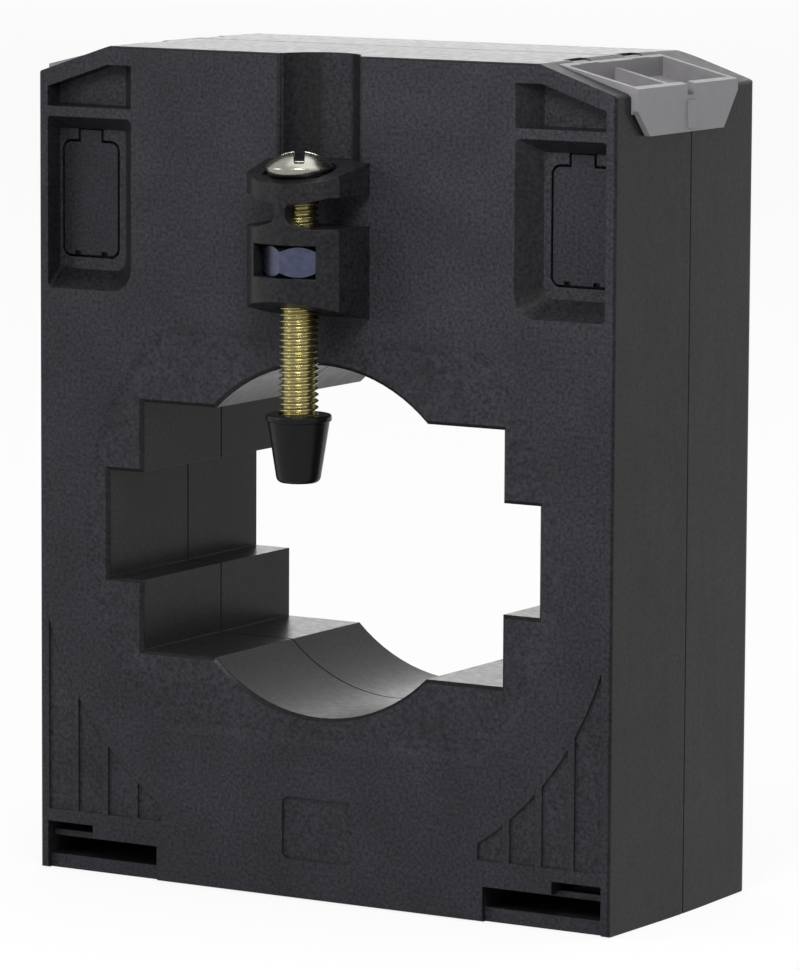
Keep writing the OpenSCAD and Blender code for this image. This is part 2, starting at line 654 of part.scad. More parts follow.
module front_shell() color("#2c2d31") difference() {
    union() {
        difference() {
            intersection() {
                body_form(0);
                box(-body_w, y_front - over, -over, body_w, y_part, body_h + over);
            }
            intersection() {
                body_form(wall);
                box(-body_w, y_front, -over, body_w, y_part + over, body_h + over);
            }
        }
        lap_ring(wall / 2 + 0.1, wall, y_part - over, y_part + lap_depth);
        intersection() {
            union() {
                window_prism(sleeve_wall, y_front + wall / 2, y_part);
                coil_seat(y_front + wall / 2, -tape_half);
                channel(channel_wall, holder_z1 - channel_wall);
                both_sides() {
                    foot_slot_walls();
                    terminal_walls();
                    box(recess_x0, y_front + wall / 2, recess_z - recess_backing, half_w - wall / 2,
                        y_front + recess_depth + plate_t + recess_backing, body_h);
                }
            }
            body_form(wall / 2);
            box(-body_w, y_front, -over, body_w, y_part, body_h + over);
        }
        holder();
    }
    window_prism(0, y_front - over, y_part + lap_depth + over);
    window_bevel(y_front + field_depth, window_edge, 1);
    window_bevel(y_part, seam_d, -1);
    field_cut();
    channel(0, holder_z1);
    channel_edges();
    mark_field();
    both_sides() {
        tall_recess();
        high_recess();
        plate_pocket();
        difference() { foot_slot(); foot_slot_bar(); }
        relief_bars();
        terminal_cut();
    }
}

module rear_shell() color("#2a2b2e") difference() {
    union() {
        difference() {
            intersection() {
                body_form(0);
                box(-body_w, y_part, -over, body_w, y_rear + over, body_h + over);
            }
            intersection() {
                body_form(wall);
                box(-body_w, y_part - over, -over, body_w, y_rear, body_h + over);
            }
            lap_ring(wall / 2, wall + 0.1, y_part - over, y_part + lap_depth + 0.1);
        }
        intersection() {
            union() {
                window_prism(sleeve_wall, y_part, y_rear - wall / 2);
                coil_seat(tape_half, y_rear - wall / 2);
                both_sides() terminal_walls();
            }
            difference() {
                body_form(wall / 2);
                lap_ring(wall / 2 - eps, wall + 0.1, y_part - over, y_part + lap_depth + 0.1);
            }
            box(-body_w, y_part, -over, body_w, y_rear, body_h + over);
        }
    }
    window_prism(0, y_part - over, y_rear + over);
    window_bevel(y_part, seam_d, 1);
    window_bevel(y_rear, window_edge, -1);
    both_sides() terminal_cut();
}

module access_plate() {
    y0 = y_front + recess_depth;
    difference() {
        front_view(y0, y0 + plate_t) plate_outline(0, 0);
        for (side = [-1, 1])
            box(plate_x + side * plate_w / 4 - notch_w / 2, y0 - over, plate_z - over,
                plate_x + side * plate_w / 4 + notch_w / 2, y0 + plate_t / 2, plate_z + notch_w / 2);
    }
    front_view(y0 + plate_t - eps, y0 + plate_t + recess_backing) square_window(window_land + fit_gap);
}

// ---- clamp ----
module clamp_nut() color("#a9b2c0") translate([0, clamp_y, nut_z]) difference() {
    intersection() {
        rotate(30) cylinder(nut_h, d = nut_s / cos(30), $fn = 6);
        union() {
            cylinder(nut_h / 2, d1 = nut_s * 0.97, d2 = nut_s * 0.97 + nut_h);
            translate([0, 0, nut_h / 2]) cylinder(nut_h / 2, d1 = nut_s * 0.97 + nut_h, d2 = nut_s * 0.97);
        }
    }
    translate([0, 0, -over]) cylinder(nut_h + 2 * over, d = screw_d + 2 * thread_gap);
}
// Lens-shaped head with a slot and a cross recess
module clamp_head() {
    dome = head_h - head_edge_h;
    edge = (head_d - head_seat_d) / 2;
    r = (pow(head_d / 2, 2) + pow(dome, 2)) / (2 * dome);
    rim = asin(head_d / 2 / r);
    floor_z = head_h - head_slot_d;
    difference() {
        rotate_extrude() polygon(concat([[0, 0]],
            [for (a = [0:18:90]) [head_seat_d / 2 + edge * sin(a), head_edge_h * (1 - cos(a))]],
            [for (i = [1:8]) let (a = rim * (1 - i / 8)) [r * sin(a), head_h - r + r * cos(a)]]));
        rotate(head_turn - 90) {
            translate([-head_d, -head_slot_w / 2, floor_z]) cube([2 * head_d, head_slot_w, head_d]);
            intersection() {
                translate([-head_slot_w / 2, -head_d, floor_z - 0.6]) cube([head_slot_w, 2 * head_d, head_d]);
                translate([0, 0, floor_z - 0.6]) cylinder(head_slot_d + 0.7, d1 = head_d * 0.3, d2 = head_d * 0.66);
            }
        }
    }
}
module clamp_screw() color("#cdb978") translate([0, clamp_y, head_z]) {
    clamp_head();
    translate([0, 0, screw_tip - screw_l]) cylinder(screw_l, d = screw_d);
    translate([0, 0, -screw_l]) cylinder(screw_tip, d1 = screw_d - 2 * screw_tip, d2 = screw_d);
}
screw_tip = 0.6;
cap_z = head_z - screw_l + cap_grip - cap_h;
module clamp_cap() color("#202124") translate([0, clamp_y, cap_z]) difference() {
    rotate_extrude() polygon(rounded([[0, 0], [cap_tip_d / 2, 0], [cap_top_d / 2 - 0.25, cap_h - 0.9],
        [cap_top_d / 2, cap_h - 0.8], [cap_top_d / 2, cap_h], [0, cap_h]], [0, 0.8, 0, 0.2, 0.3, 0], 4));
    translate([0, 0, cap_h - cap_grip]) cylinder(cap_grip + over, d = screw_d + 2 * thread_gap);
}

// ---- terminal covers ----
module terminal_cover() {
    difference() {
        front_view(cover_y0, cover_y1) cover_profile(0);
        // tray, open at the top
        front_view(cover_y0 + cover_wall, cover_y1 - cover_wall) polygon([
            [cover_x + cover_wall, body_h + over], [flap_x - cover_wall * 0.3, body_h + over],
            [flap_x - cover_wall * 0.3, cover_z(flap_x) - cover_tray],
            [cover_x + cover_wall, cover_z(cover_x + cover_wall) - cover_tray]]);
        // access holes over the terminal screws
        for (y = screw_at) translate([block_x, y, block_z]) cylinder(body_h, d = tscrew_d + 1.7);
        // the flap's slanted ends
        side_view(flap_x - eps, cover_x1 + over) {
            polygon([[cover_y0, flap_z + flap_front_h], [cover_y0 + flap_front_w, flap_z - eps],
                [cover_y0 + flap_front_w, flap_z - over], [cover_y0 - over, flap_z - over],
                [cover_y0 - over, flap_z + flap_front_h]]);
            polygon([[cover_y1, flap_z + flap_rear_h], [cover_y1 - flap_rear_w, flap_z - eps],
                [cover_y1 - flap_rear_w, flap_z - over], [cover_y1 + over, flap_z - over],
                [cover_y1 + over, flap_z + flap_rear_h]]);
        }
        // notch at the top of the flap's rib
        box(flap_x - over, rib_y - rib_w / 2, cover_top_out - rib_notch,
            cover_x1 + over, rib_y + rib_w / 2, body_h);
    }
    // partition of the tray and rib down the flap
    tray_x0 = cover_x + cover_wall - eps;
    tray_x1 = flap_x - cover_wall;
    front_view(cover_mid - cover_wall / 2, cover_mid + cover_wall / 2) polygon([
        [tray_x0, cover_z(tray_x0) - partition_drop], [tray_x1, cover_z(tray_x1) - partition_drop],
        [tray_x1, cover_z(tray_x1) - cover_tray - eps], [tray_x0, cover_z(tray_x0) - cover_tray - eps]]);
    box(cover_x1 - eps, rib_y - rib_w / 2, flap_z + 0.5,
        cover_x1 + 0.35, rib_y + rib_w / 2, cover_top_out - rib_notch - 0.6);
    for (y = hinge_at) {
        translate([hinge_x, y, hinge_z]) rotate([90, 0, 0])
            cylinder(hinge_l + 2 * hinge_pin, d = hinge_d, center = true, $fn = 32);
        box(hinge_x, y - hinge_l / 2, hinge_z - hinge_d / 2, cover_x + cover_wall,
            y + hinge_l / 2, hinge_z + 0.3);
    }
}

// ---- terminals ----
module terminal_block() difference() {
    box(block_x - block_w / 2, cover_mid - block_l / 2, block_z,
        block_x + block_w / 2, cover_mid + block_l / 2, block_z + block_h);
    for (y = screw_at) {
        box(block_x - block_w, y - wire_w / 2, wire_z, block_x + block_w, y + wire_w / 2, wire_z + wire_h);
        translate([block_x, y, wire_z]) cylinder(block_h, d = tscrew_d + 2 * thread_gap);
    }
    translate([lead_x, cover_mid, block_z - over])
        cylinder(lead_top - block_z + over + eps, d = lead_d + 2 * thread_gap, $fn = 32);
}
module wire_clamp(y) box(block_x - block_w / 2 + 0.4, y - wire_w / 2 + 0.1, wire_clamp_z,
    block_x + block_w / 2 - 0.4, y + wire_w / 2 - 0.1, wire_clamp_z + clamp_t);
module terminal_screw(y) translate([block_x, y, wire_clamp_z + clamp_t]) difference() {
    cylinder(tscrew_l, d = tscrew_d);
    translate([-tscrew_d, -0.4, tscrew_l - 1]) cube([2 * tscrew_d, 0.8, 2]);
}

// ---- core and winding ----
module ring_about_window() translate([0, 0, window_z]) rotate([90, 0, 0]) rotate_extrude($fn = 128) children();
module core() color("#8d8f92") ring_about_window()
    translate([core_r, -core_strip / 2]) square([core_build, core_strip]);
// U-shaped insulating half ring, open towards the middle of the core
module core_ring() color("#d8d2c0") ring_about_window() difference() {
    translate([ring_r0, 0]) square([ring_r1 - ring_r0, ring_half]);
    translate([ring_r0 + ring_wall, -over]) square([core_build + 2 * ring_gap, over + core_strip / 2 + ring_gap]);
}
module secondary_winding() color("#b5662e") ring_about_window() difference() {
    translate([coil_r0, -coil_half]) square([coil_r1 - coil_r0, 2 * coil_half]);
    translate([ring_r0, -ring_half]) square([ring_r1 - ring_r0, 2 * ring_half]);
}
module winding_tape() color("#e0c94a") ring_about_window() difference() {
    translate([tape_r0, -tape_half]) square([tape_r1 - tape_r0, 2 * tape_half]);
    translate([coil_r0, -coil_half]) square([coil_r1 - coil_r0, 2 * coil_half]);
}
// Lead from the winding up to the underside of the terminal block
module lead() difference() {
    translate([lead_x, cover_mid, 0]) {
        translate([0, 0, lead_low + lead_bend]) cylinder(lead_top - lead_low - lead_bend, d = lead_d, $fn = 32);
        translate([-lead_bend, 0, lead_low + lead_bend]) rotate([-90, 0, 0])
            rotate_extrude(angle = 90, $fn = 96) translate([lead_bend, 0]) circle(d = lead_d, $fn = 32);
    }
    translate([0, 0, window_z]) rotate([90, 0, 0]) cylinder(body_d, r = tape_r1, center = true, $fn = 128);
}

front_shell();
rear_shell();
color("#26272a") mirror([1, 0, 0]) access_plate();  // access_plate_left
color("#26272a") access_plate();  // access_plate_right
clamp_cap();
clamp_screw();
clamp_nut();
color("#c4c6c8") mirror([1, 0, 0]) terminal_cover();  // terminal_cover_left
color("#c4c6c8") terminal_cover();  // terminal_cover_right
color("#c9a24a") mirror([1, 0, 0]) terminal_block();  // terminal_block_left
color("#c9a24a") terminal_block();  // terminal_block_right
color("#b8bcc2") mirror([1, 0, 0]) wire_clamp(screw_at[0]);  // wire_clamp_left_front
color("#b8bcc2") mirror([1, 0, 0]) wire_clamp(screw_at[1]);  // wire_clamp_left_rear
color("#b8bcc2") wire_clamp(screw_at[0]);  // wire_clamp_right_front
color("#b8bcc2") wire_clamp(screw_at[1]);  // wire_clamp_right_rear
color("#c8ccd2") mirror([1, 0, 0]) terminal_screw(screw_at[0]);  // terminal_screw_left_front
color("#c8ccd2") mirror([1, 0, 0]) terminal_screw(screw_at[1]);  // terminal_screw_left_rear
color("#c8ccd2") terminal_screw(screw_at[0]);  // terminal_screw_right_front
color("#c8ccd2") terminal_screw(screw_at[1]);  // terminal_screw_right_rear
core();
core_ring();  // core_ring_front
mirror([0, 1, 0]) core_ring();  // core_ring_rear
secondary_winding();
winding_tape();
color("#2f6fb3") mirror([1, 0, 0]) lead();  // lead_left
color("#2f6fb3") lead();  // lead_right
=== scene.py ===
# %% [markdown]
# # Looks of a plug-on current transformer
# The part is a black plastic ring housing that is pushed over a bus bar. This file gives the
# fixed CAD frame its finishes, draws the screws with their threads, and lights the whole.
# Everything is in metres, with +Z up and the front face looking along -Y.

import math

import bpy
import numpy as np
from mathutils import Matrix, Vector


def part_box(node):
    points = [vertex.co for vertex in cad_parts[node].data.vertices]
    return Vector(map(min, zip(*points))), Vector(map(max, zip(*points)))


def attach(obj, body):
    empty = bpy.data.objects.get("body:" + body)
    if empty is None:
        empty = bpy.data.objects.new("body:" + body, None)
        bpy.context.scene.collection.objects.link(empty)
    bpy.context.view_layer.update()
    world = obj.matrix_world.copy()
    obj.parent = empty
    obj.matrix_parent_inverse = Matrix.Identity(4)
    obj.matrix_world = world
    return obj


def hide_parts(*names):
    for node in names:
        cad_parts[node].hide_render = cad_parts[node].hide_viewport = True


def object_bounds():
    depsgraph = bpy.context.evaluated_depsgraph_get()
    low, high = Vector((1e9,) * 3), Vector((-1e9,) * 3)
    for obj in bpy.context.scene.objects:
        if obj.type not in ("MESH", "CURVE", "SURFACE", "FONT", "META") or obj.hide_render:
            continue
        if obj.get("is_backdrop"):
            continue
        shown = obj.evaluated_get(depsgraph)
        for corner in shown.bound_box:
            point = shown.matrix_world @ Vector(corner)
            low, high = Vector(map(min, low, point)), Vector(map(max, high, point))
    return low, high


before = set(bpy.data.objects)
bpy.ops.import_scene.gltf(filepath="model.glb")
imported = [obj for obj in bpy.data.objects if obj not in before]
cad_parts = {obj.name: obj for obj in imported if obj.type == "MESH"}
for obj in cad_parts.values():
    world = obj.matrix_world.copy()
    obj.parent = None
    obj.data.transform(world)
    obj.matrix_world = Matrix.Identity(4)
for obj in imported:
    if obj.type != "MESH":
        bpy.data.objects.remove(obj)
cad_low, cad_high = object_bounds()
print("CAD box", [round(v, 5) for v in cad_low], [round(v, 5) for v in cad_high])

MM = 0.001

# %% [markdown]
# Colours are written as sRGB hex values, the way a colour picker shows them. Blender's
# shaders want linear light, so one function turns the one into the other. A second small
# function adds a shader node, sets its inputs and returns it, which keeps the materials short.

# %% Colour and node helpers


def linear(hex_code):
    """sRGB hex to linear: v/12.92 up to 0.04045, else ((v + 0.055) / 1.055) to the power 2.4."""
    v = np.array([int(hex_code[i:i + 2], 16) for i in (1, 3, 5)]) / 255
    v = np.where(v <= 0.04045, v / 12.92, ((v + 0.055) / 1.055) ** 2.4)
    return (*v.tolist(), 1.0)


def add_node(tree, kind, inputs=None, **settings):
    """Adds a node; inputs maps a socket's name or number to a value or to another socket."""
    node = tree.nodes.new(kind)
    for name, value in settings.items():
        setattr(node, name, value)
    for key, value in (inputs or {}).items():
        if isinstance(value, bpy.types.NodeSocket):
            tree.links.new(value, node.inputs[key])
        else:
            node.inputs[key].default_value = value
    return node


def new_material(name):
    """A material with a bare Principled shader, and its tree and coordinates node."""
    material = bpy.data.materials.new(name)
    material.use_nodes = True
    tree = material.node_tree
    shader = tree.nodes["Principled BSDF"]
    place = add_node(tree, "ShaderNodeTexCoord")
    return material, tree, shader, place


def stand(thing, right, up, back, place):
    """Links the object and stands it at place, with its X, Y and Z axes as given."""
    bpy.context.scene.collection.objects.link(thing)
    rows = [(right[i], up[i], back[i], place[i]) for i in range(3)]
    thing.matrix_world = Matrix(rows + [(0, 0, 0, 1)])


print("helpers ready")

# %% [markdown]
# The camera stands at the front right of the object and a little above it. Its lens is long,
# which keeps the housing's edges nearly parallel.

# %% Camera
RIGHT = (0.855246, 0.518196, 0.005168)
UP = (-0.072309, 0.109454, 0.991358)
BACK = (0.513153, -0.848229, 0.131081)
EYE = (0.395051, -0.651232, 0.152081)
SENSOR = 36
FOCAL_LENGTH = 6.18 * SENSOR

camera = bpy.data.objects.new("camera", bpy.data.cameras.new("camera"))
camera.data.sensor_width = SENSOR
camera.data.lens = FOCAL_LENGTH
camera.data.clip_end = 20
stand(camera, RIGHT, UP, BACK, EYE)
bpy.context.scene.camera = camera
print("lens", round(camera.data.lens, 1), "mm")

# %% [markdown]
# A product picture wants a pale floor that melts into the backdrop and keeps only the soft
# contact shadow. The floor is white paint. Most of what the camera sees of it is plain white
# light, so it stays pale in the distance, and the rest is paint, which takes the shadow.

# %% Floor and world
FLOOR_Z = float(cad_low[2])
FLOOR_HALF = 6
WHITE_SHARE = 0.88
ROOM_STRENGTH = 0.55

corners = [(x, y, FLOOR_Z) for x, y in ((-1, -1), (1, -1), (1, 1), (-1, 1))]
corners = [(x * FLOOR_HALF, y * FLOOR_HALF, z) for x, y, z in corners]
floor_mesh = bpy.data.meshes.new("floor")
floor_mesh.from_pydata(corners, [], [(0, 1, 2, 3)])
floor = bpy.data.objects.new("floor", floor_mesh)
bpy.context.scene.collection.objects.link(floor)
floor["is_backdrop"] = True


def seen_white(tree):
    """1 for rays that come from the camera, a mirror or glass; 0 for those that bring light."""
    path = add_node(tree, "ShaderNodeLightPath").outputs
    seen = add_node(tree, "ShaderNodeMath", {0: path["Is Camera Ray"], 1: path["Is Glossy Ray"]},
                    operation="MAXIMUM").outputs[0]
    return add_node(tree, "ShaderNodeMath", {0: seen, 1: path["Is Transmission Ray"]},
                    operation="MAXIMUM").outputs[0]


# a matt white paint: the eye gets a floor that only the shadow marks
floor_paint = bpy.data.materials.new("studio_floor_paint")
floor_paint.use_nodes = True
tree = floor_paint.node_tree
tree.nodes.clear()
paint = add_node(tree, "ShaderNodeBsdfDiffuse", {"Color": linear("#f4f4f4")})
glow = add_node(tree, "ShaderNodeEmission", {"Color": (1, 1, 1, 1), "Strength": 1.0})
share = add_node(tree, "ShaderNodeMath", {0: seen_white(tree), 1: WHITE_SHARE},
                 operation="MULTIPLY")
mix = add_node(tree, "ShaderNodeMixShader",
               {0: share.outputs[0], 1: paint.outputs[0], 2: glow.outputs[0]})
add_node(tree, "ShaderNodeOutputMaterial", {"Surface": mix.outputs[0]})
floor_mesh.materials.append(floor_paint)

world = bpy.data.worlds.new("studio")
bpy.context.scene.world = world
world.use_nodes = True
tree = world.node_tree
tree.nodes.clear()
room = add_node(tree, "ShaderNodeBackground", {"Color": (1, 1, 1, 1), "Strength": ROOM_STRENGTH})
white = add_node(tree, "ShaderNodeBackground", {"Color": (1, 1, 1, 1), "Strength": 1.0})
mix = add_node(tree, "ShaderNodeMixShader",
               {0: seen_white(tree), 1: room.outputs[0], 2: white.outputs[0]})
add_node(tree, "ShaderNodeOutputWorld", {"Surface": mix.outputs[0]})
print("floor", 2 * FLOOR_HALF, "m wide, room light", ROOM_STRENGTH)

# %% [markdown]
# Black plastic shows its shape almost only by what it reflects. Five soft lamps do the work.
# The strongest sheen, on the top, comes from a lamp far behind and low down: it is met at a
# grazing angle, where even dull plastic mirrors. A broad lamp overhead fills in. Of the two
# in front, the one on the left grazes the raised lines of the face and the small one close by
# brightens its upper right. A weak one keeps the right side from going dead.

# %% Lamps


def soft_lamp(name, place, target, size, watts):
    """A square area lamp at place, turned towards target; the camera does not see it."""
    data = bpy.data.lights.new(name, "AREA")
    data.shape, data.size, data.energy = "SQUARE", size, watts
    lamp = bpy.data.objects.new(name, data)
    lamp.visible_camera = False
    back = np.subtract(place, target)
    back = back / np.linalg.norm(back)
    side = np.cross((0, 0, 1), back)
    side = side / np.linalg.norm(side)
    stand(lamp, side, np.cross(back, side), back, place)


soft_lamp("overhead", (0.02, 0.25, 0.9), (0, 0, 0.05), 0.8, 3.2)
soft_lamp("front_left", (-0.42, -0.40, 0.20), (0, 0, 0.07), 0.2, 0.7)
soft_lamp("front_high", (0.06, -0.13, 0.18), (0.03, 0, 0.09), 0.06, 0.2)
soft_lamp("right_side", (0.95, -0.15, 0.55), (0, 0, 0.05), 0.5, 1.0)
soft_lamp("low_behind", (-1.45, 2.40, 0.42), (0, 0, 0.1), 1.1, 5.9)
bpy.context.scene.view_settings.view_transform = "Standard"

# %% [markdown]
# The housing is injection-moulded, glass-filled nylon. Its mould was spark-eroded on the
# front face, which leaves a fine pebbled grain, and only polished on the sides, in the window
# and on the clamp's holder, which leaves them smooth with faint flow lines. One material
# serves both: it looks at the surface's own direction and gives the grain to what faces
# forwards. Noise values lie mostly between 0.3 and 0.7, so NOISE_SPAN is the range that every
# Map Range node below stretches to its own low and high value.

# %% Housing material
NOISE_SPAN = {1: 0.3, 2: 0.7}
PATCH_MM, FLOW_MM = 9, 1.1
FLOW_STRETCH = (1, 1, 0.08)
EDGE_RADIUS = 0.22 * MM
HOLDER_Y = -18.5 * MM


def moulded_nylon(name, face_hex, side_hex, grain_mm=0.45, bump_mm=0.27):
    """Pebbled grain on the front face, which looks along -Y; smooth semi-gloss elsewhere."""
    material, tree, shader, place = new_material(name)
    shader.inputs["IOR"].default_value = 1.52
    shader.inputs["Specular IOR Level"].default_value = 0.11
    spot = place.outputs["Object"]

    # front: 1 where the surface looks forwards and does not stand out as the holder does
    facing = add_node(tree, "ShaderNodeSeparateXYZ", {0: place.outputs["Normal"]}).outputs["Y"]
    facing = add_node(tree, "ShaderNodeMapRange",
                      {0: facing, 1: -0.9, 2: -0.97, 3: 0.0, 4: 1.0}).outputs[0]
    depth = add_node(tree, "ShaderNodeSeparateXYZ", {0: spot}).outputs["Y"]
    on_face = add_node(tree, "ShaderNodeMath", {0: depth, 1: HOLDER_Y},
                       operation="GREATER_THAN").outputs[0]
    front = add_node(tree, "ShaderNodeMath", {0: facing, 1: on_face},
                     operation="MULTIPLY").outputs[0]

    # pebbles are coarser than the real 0.1 mm so that they show; patches are cloudy pigment
    pebbles = add_node(tree, "ShaderNodeTexNoise", {
        "Vector": spot, "Scale": 1 / (grain_mm * MM), "Detail": 3.0,
        "Roughness": 0.6}).outputs["Fac"]
    patches = add_node(tree, "ShaderNodeTexNoise", {
        "Vector": spot, "Scale": 1 / (PATCH_MM * MM), "Detail": 2.0}).outputs["Fac"]
    # flow lines: noise stretched along the height
    drawn = add_node(tree, "ShaderNodeMapping", {"Vector": spot, "Scale": FLOW_STRETCH})
    flow = add_node(tree, "ShaderNodeTexNoise", {
        "Vector": drawn.outputs[0], "Scale": 1 / (FLOW_MM * MM), "Detail": 2.0}).outputs["Fac"]

    tone = add_node(tree, "ShaderNodeMix", {
        0: front, 6: linear(side_hex), 7: linear(face_hex)}, data_type="RGBA").outputs[2]
    cloud = add_node(tree, "ShaderNodeMapRange",
                     {0: patches, **NOISE_SPAN, 3: 0.85, 4: 1.15}).outputs[0]
    speck = add_node(tree, "ShaderNodeMapRange",
                     {0: pebbles, **NOISE_SPAN, 3: 0.4, 4: 1.6}).outputs[0]
    shade = add_node(tree, "ShaderNodeMath", {0: cloud, 1: speck},
                     operation="MULTIPLY").outputs[0]
    shaded = add_node(tree, "ShaderNodeVectorMath", {0: tone, "Scale": shade},
                      operation="SCALE").outputs[0]
    tree.links.new(shaded, shader.inputs["Base Color"])

    rough_front = add_node(tree, "ShaderNodeMapRange",
                           {0: pebbles, **NOISE_SPAN, 3: 0.46, 4: 0.6}).outputs[0]
    rough_side = add_node(tree, "ShaderNodeMapRange",
                          {0: flow, **NOISE_SPAN, 3: 0.28, 4: 0.36}).outputs[0]
    rough = add_node(tree, "ShaderNodeMix", {0: front, 2: rough_side, 3: rough_front},
                     data_type="FLOAT").outputs[0]
    tree.links.new(rough, shader.inputs["Roughness"])

    # moulded edges are never knife sharp; the grain lies on top of their rounding
    edge = add_node(tree, "ShaderNodeBevel", {"Radius": EDGE_RADIUS}, samples=4).outputs[0]
    height = add_node(tree, "ShaderNodeMath", {0: pebbles, 1: front},
                      operation="MULTIPLY").outputs[0]
    bump = add_node(tree, "ShaderNodeBump", {
        "Height": height, "Normal": edge, "Strength": 0.5, "Distance": bump_mm * MM})
    tree.links.new(bump.outputs[0], shader.inputs["Normal"])
    return material


# a dull, faintly violet black on the face against a smoother neutral black on the sides
housing_front_finish = moulded_nylon("eroded_glass_filled_nylon_front", "#28272c", "#1b1b1d")
housing_rear_finish = moulded_nylon("moulded_glass_filled_nylon_rear", "#28272c", "#1b1b1d")
# the plates are a shade darker and finer grained, so that they read as separate pieces
plate_finish = moulded_nylon("moulded_nylon_plate", "#222227", "#17171a",
                             grain_mm=0.4, bump_mm=0.108)


def dress(material, *nodes):
    """Puts the material on every slot of the CAD nodes named."""
    for name in nodes:
        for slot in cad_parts[name].material_slots:
            slot.material = material


dress(housing_front_finish, "front_shell")
dress(housing_rear_finish, "rear_shell")
dress(plate_finish, "access_plate_left", "access_plate_right")
print("nylon materials ready")

# %% [markdown]
# The other finishes start from their real metals and plastics. In a metal nearly all of the
# look is the tint of what it mirrors, so its colour wanders a little, as plating does, and
# its gloss is broken by a fine grain or by tool marks.

# %% Metals
METAL_GRAIN_MM, METAL_BUMP = 0.15, 0.02 * MM


def metal(name, tint_hex, second_hex, rough_low, rough_high, blotch_mm=0.8, lines=(1, 1, 1)):
    """Plated metal: two tints in blotches; lines squeezes the grain to tool marks along Y."""
    material, tree, shader, place = new_material(name)
    spot = place.outputs["Object"]
    blotch = add_node(tree, "ShaderNodeTexNoise", {
        "Vector": spot, "Scale": 1 / (blotch_mm * MM), "Detail": 3.0})
    tone = add_node(tree, "ShaderNodeMix", {
        0: blotch.outputs["Fac"], 6: linear(tint_hex), 7: linear(second_hex)}, data_type="RGBA")
    tree.links.new(tone.outputs[2], shader.inputs["Base Color"])
    shader.inputs["Metallic"].default_value = 1.0
    drawn = add_node(tree, "ShaderNodeMapping", {"Vector": spot, "Scale": lines})
    grain = add_node(tree, "ShaderNodeTexNoise", {
        "Vector": drawn.outputs[0], "Scale": 1 / (METAL_GRAIN_MM * MM), "Detail": 2.0})
    rough = add_node(tree, "ShaderNodeMapRange",
                     {0: grain.outputs["Fac"], **NOISE_SPAN, 3: rough_low, 4: rough_high})
    tree.links.new(rough.outputs[0], shader.inputs["Roughness"])
    bump = add_node(tree, "ShaderNodeBump", {
        "Height": grain.outputs["Fac"], "Strength": 0.25, "Distance": METAL_BUMP})
    tree.links.new(bump.outputs[0], shader.inputs["Normal"])
    return material


# the greenish gold of the thread
chromated = metal("yellow_chromated_steel", "#9a9164", "#b8b088", 0.2, 0.36)
# the warm silver of the screw heads, brighter than the thread
bright_zinc = metal("bright_zinc_plated_steel", "#83827b", "#9a988f", 0.18, 0.32)
# the cold blue grey of the nut and the wire clamps
passivated = metal("blue_passivated_steel", "#3c3e50", "#565a70", 0.22, 0.36)
# the deep yellow of the terminals, with milling marks
brass = metal("milled_brass", "#c9a25a", "#d8b875", 0.25, 0.4, lines=(1, 0.1, 1))
# dull grey with the edges of the wound strip
strip_steel = metal("strip_wound_silicon_steel", "#6f7276", "#8b8e92", 0.35, 0.5,
                    lines=(1, 0.05, 1))
# the red brown of varnished wire
copper = metal("enamelled_copper_wire", "#8a4520", "#a65a2c", 0.25, 0.35)

dress(passivated, "clamp_nut", "wire_clamp_left_front", "wire_clamp_left_rear",
      "wire_clamp_right_front", "wire_clamp_right_rear")
dress(brass, "terminal_block_left", "terminal_block_right")
dress(strip_steel, "core")
dress(copper, "secondary_winding")
print("metals ready")

# %% [markdown]
# A plain moulded plastic has one colour with a soft variation and a fine grain in its gloss.
# The covers are polycarbonate: part of the light goes through them and the rest is grey haze.

# %% Plastics
GLOSS_SPREAD, PLASTIC_GRAIN_MM, PLASTIC_PATCH_MM, PLASTIC_BUMP = 0.05, 0.4, 2, 0.01 * MM


def plain_plastic(name, tone_hex, second_hex, roughness, specular=0.5):
    """A moulded plastic: two close tones in soft patches and a fine grain in the gloss."""
    material, tree, shader, place = new_material(name)
    spot = place.outputs["Object"]
    shader.inputs["Specular IOR Level"].default_value = specular
    patch = add_node(tree, "ShaderNodeTexNoise", {
        "Vector": spot, "Scale": 1 / (PLASTIC_PATCH_MM * MM), "Detail": 2.0})
    tone = add_node(tree, "ShaderNodeMix", {
        0: patch.outputs["Fac"], 6: linear(tone_hex), 7: linear(second_hex)}, data_type="RGBA")
    tree.links.new(tone.outputs[2], shader.inputs["Base Color"])
    grain = add_node(tree, "ShaderNodeTexNoise", {
        "Vector": spot, "Scale": 1 / (PLASTIC_GRAIN_MM * MM), "Detail": 2.0})
    rough = add_node(tree, "ShaderNodeMapRange", {
        0: grain.outputs["Fac"], **NOISE_SPAN,
        3: roughness - GLOSS_SPREAD, 4: roughness + GLOSS_SPREAD})
    tree.links.new(rough.outputs[0], shader.inputs["Roughness"])
    bump = add_node(tree, "ShaderNodeBump", {
        "Height": grain.outputs["Fac"], "Strength": 0.3, "Distance": PLASTIC_BUMP})
    tree.links.new(bump.outputs[0], shader.inputs["Normal"])
    return material


# the deepest black of all, with a soft gleam down the cone
cap_finish = plain_plastic("moulded_polyamide_cap", "#0a0a0b", "#0f0f11", 0.3, specular=0.15)
# the pale tan of an insulating ring
ring_finish = plain_plastic("moulded_core_ring_plastic", "#c8bb98", "#d2c6a6", 0.5)
# the glossy yellow of winding tape
tape_finish = plain_plastic("polyester_tape", "#cbb34a", "#d6c064", 0.3)
# the blue of a wire's sheath
lead_finish = plain_plastic("pvc_lead_sheath", "#1f3f86", "#284a94", 0.42)

